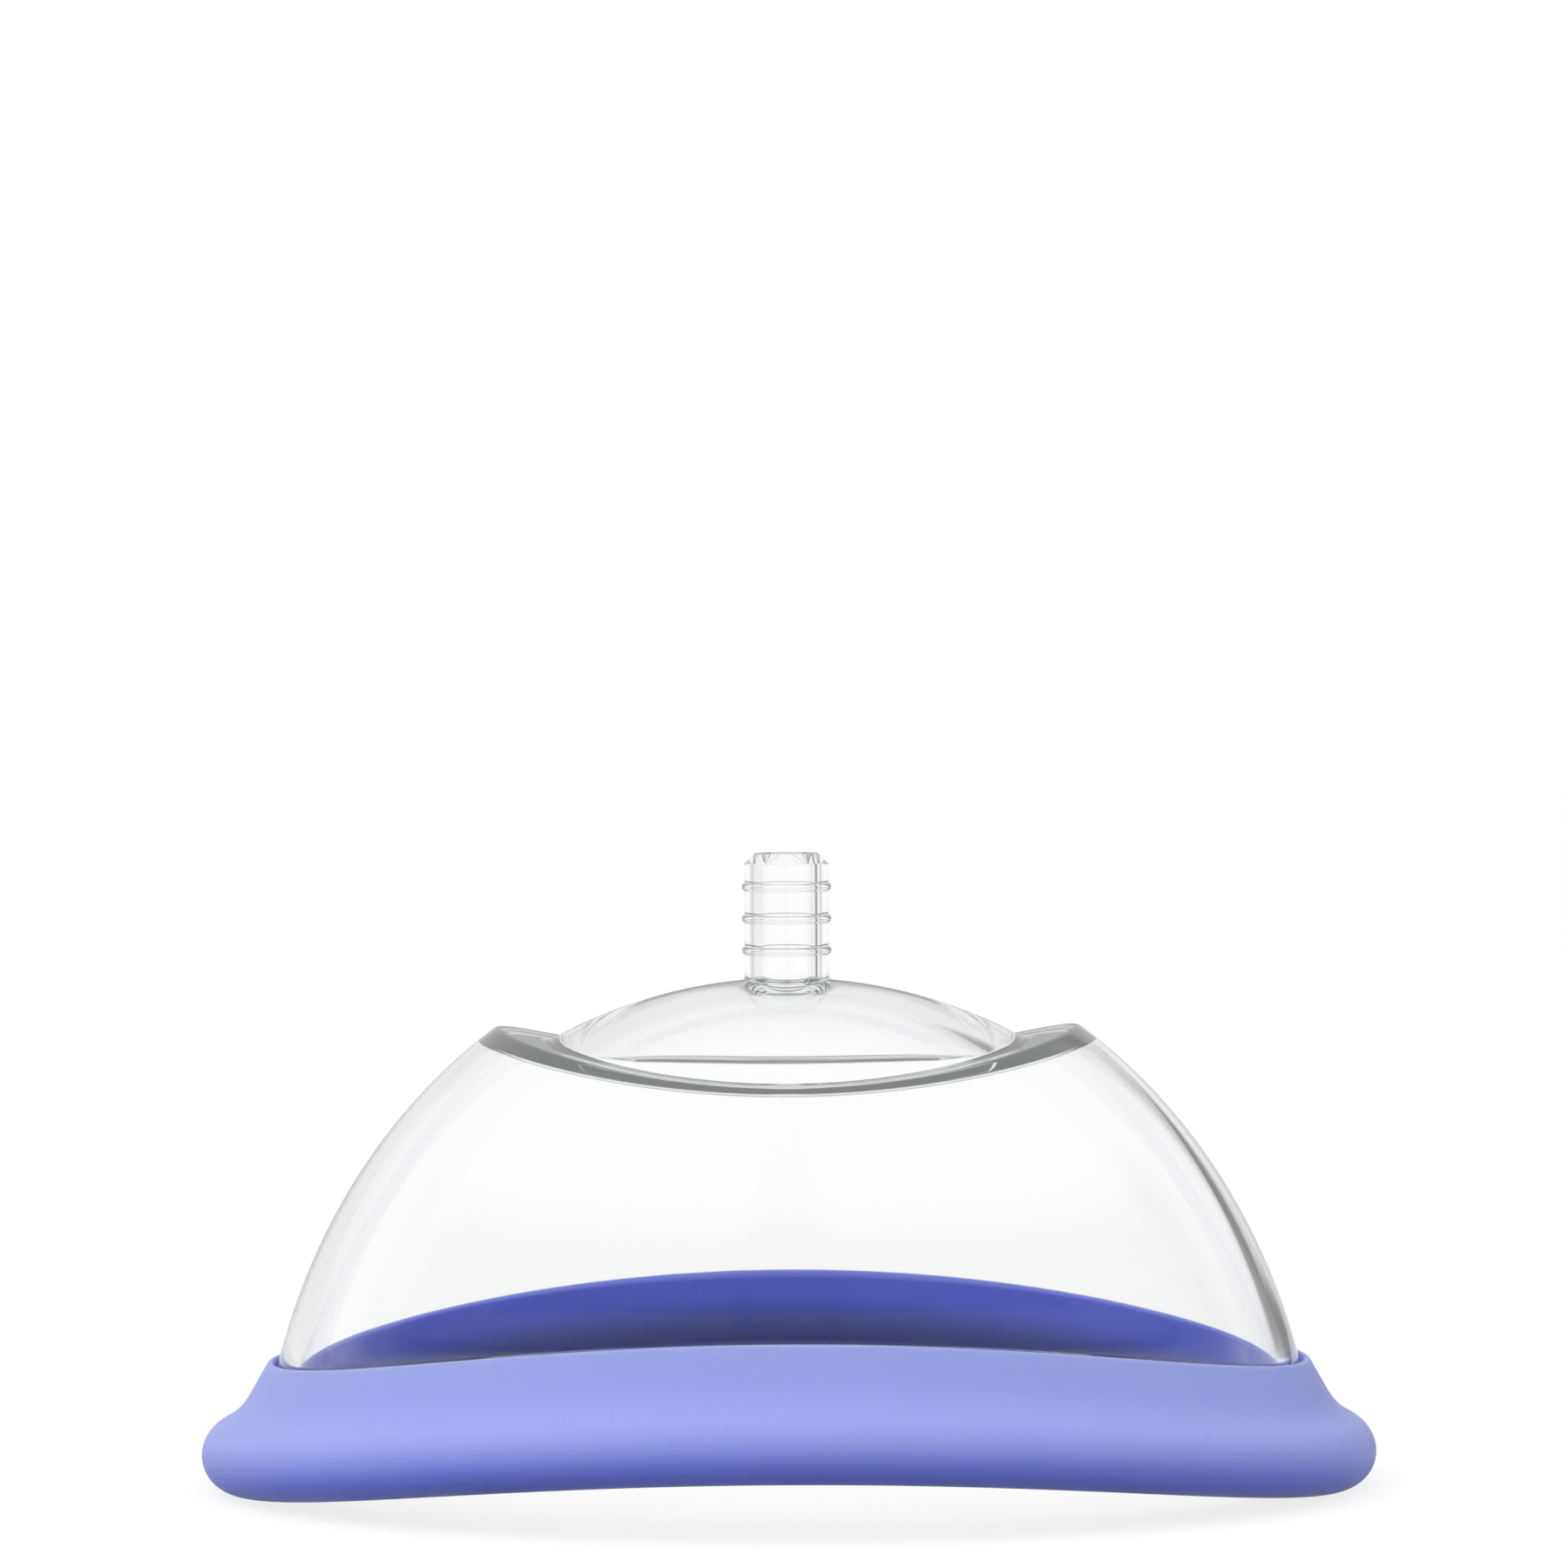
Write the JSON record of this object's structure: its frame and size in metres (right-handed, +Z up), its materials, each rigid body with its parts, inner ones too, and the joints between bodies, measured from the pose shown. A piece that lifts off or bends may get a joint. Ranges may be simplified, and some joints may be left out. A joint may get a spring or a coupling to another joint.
{
  "type": "suction cup",
  "caption": "Oval clear suction cup with a beaded hose nozzle on its stepped crown, seated in a soft flared saddle-shaped silicone rim for massage.",
  "frame": {"origin": "on the table under the middle of the cup, below the nozzle's axis", "axes": "+X along the cup's length, +Y across it, +Z up along the nozzle"},
  "size_m": [0.1108, 0.07, 0.0596],
  "materials": {
    "clear_plastic": "clear polished rigid plastic",
    "violet_silicone": "matte soft silicone, blue-violet"
  },
  "bodies": {
    "rim": {"silicone_rim": "violet_silicone"},
    "dome": {"clear_dome": "clear_plastic"}
  },
  "joints": [
    {"name": "dome_lift_off", "type": "slide", "parent": "rim", "child": "dome", "axis": [0, 0, 1], "range_m": [0, 0.02]}
  ]
}
